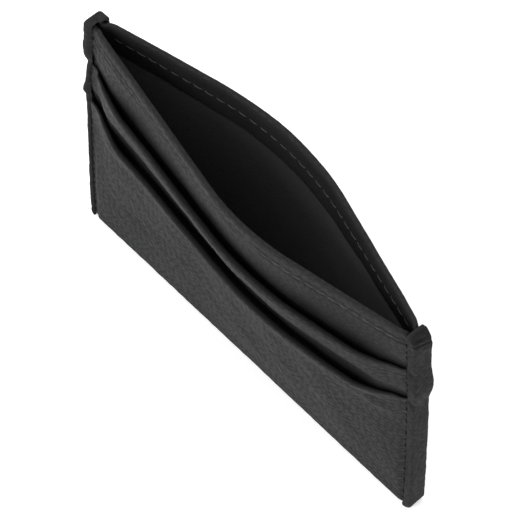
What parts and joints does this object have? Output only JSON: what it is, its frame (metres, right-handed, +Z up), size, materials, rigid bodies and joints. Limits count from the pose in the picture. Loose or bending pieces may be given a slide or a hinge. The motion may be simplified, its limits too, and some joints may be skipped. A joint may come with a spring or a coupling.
{
  "type": "card holder",
  "caption": "Slim leather card holder standing on its folded bottom edge, with card pockets on both faces and an open middle pocket between bowed walls.",
  "frame": {"origin": "middle of the bottom fold, on the surface the holder stands on", "axes": "+X along the width, -Y is the front face, +Z up out of the open middle pocket"},
  "size_m": [0.1, 0.025, 0.0752],
  "materials": {
    "outer_leather": "pebbled, semi-matt",
    "strip_leather": "pebbled, semi-matt",
    "binding_leather": "smooth, semi-matt",
    "pocket_lining": "fine twill, matt",
    "pocket_fabric": "plain weave, matt",
    "stiffener_board": "bonded fibre board",
    "sewing_thread": "bonded polyester thread"
  },
  "bodies": {
    "root": {"outer_body": "outer_leather", "front_wall": "strip_leather", "back_wall": "strip_leather", "front_middle_pocket": "strip_leather", "back_middle_pocket": "strip_leather", "left_binding": "binding_leather", "right_binding": "binding_leather", "front_lining": "pocket_lining", "back_lining": "pocket_lining", "front_wall_tail": "pocket_fabric", "back_wall_tail": "pocket_fabric", "front_middle_pocket_tail": "pocket_fabric", "back_middle_pocket_tail": "pocket_fabric", "front_stiffener": "stiffener_board", "back_stiffener": "stiffener_board", "front_lip_needle_thread": "sewing_thread", "front_lip_bobbin_thread": "sewing_thread", "back_lip_needle_thread": "sewing_thread", "back_lip_bobbin_thread": "sewing_thread", "front_left_seam_thread": "sewing_thread", "front_right_seam_thread": "sewing_thread", "back_left_seam_thread": "sewing_thread", "back_right_seam_thread": "sewing_thread"}
  },
  "joints": []
}
